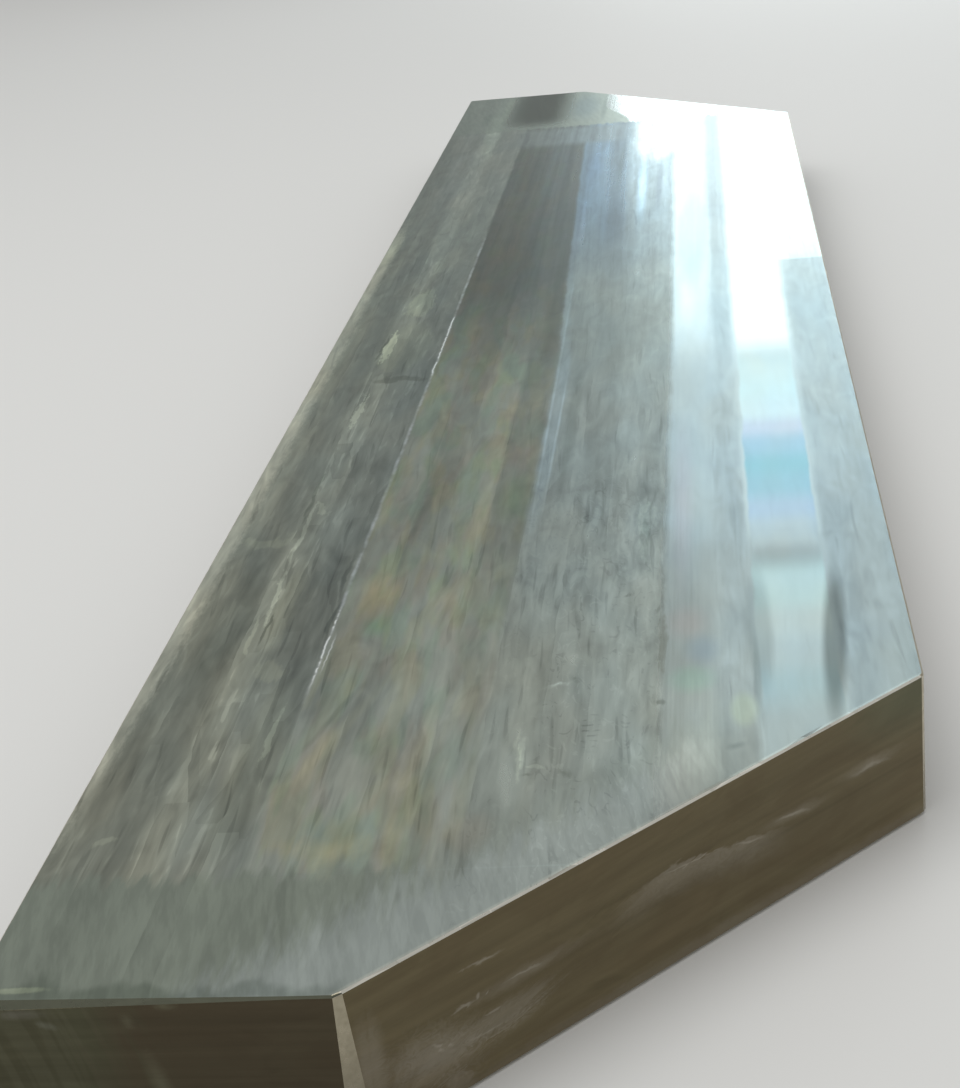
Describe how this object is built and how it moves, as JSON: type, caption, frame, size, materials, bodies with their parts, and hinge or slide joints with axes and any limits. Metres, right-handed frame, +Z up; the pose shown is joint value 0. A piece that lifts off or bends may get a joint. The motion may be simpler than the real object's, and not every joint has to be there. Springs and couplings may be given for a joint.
{
  "type": "forged steel plate",
  "caption": "Thick flat steel plate with milled faces. One long side runs the full length, and the other has its corners cut off at 45 degrees.",
  "frame": {"origin": "under the middle of the plate's length and width, on the plane of its underside", "axes": "+Y along the length, +X across towards the long side whose corners are cut off, +Z up through the thickness to the finished top face"},
  "size_m": [0.64, 3.12, 0.125],
  "materials": {
    "milled_steel": "milled in lengthwise passes, satin to bright, with a thin film of oil on the sides"
  },
  "bodies": {
    "root": {"plate": "milled_steel"}
  },
  "joints": []
}
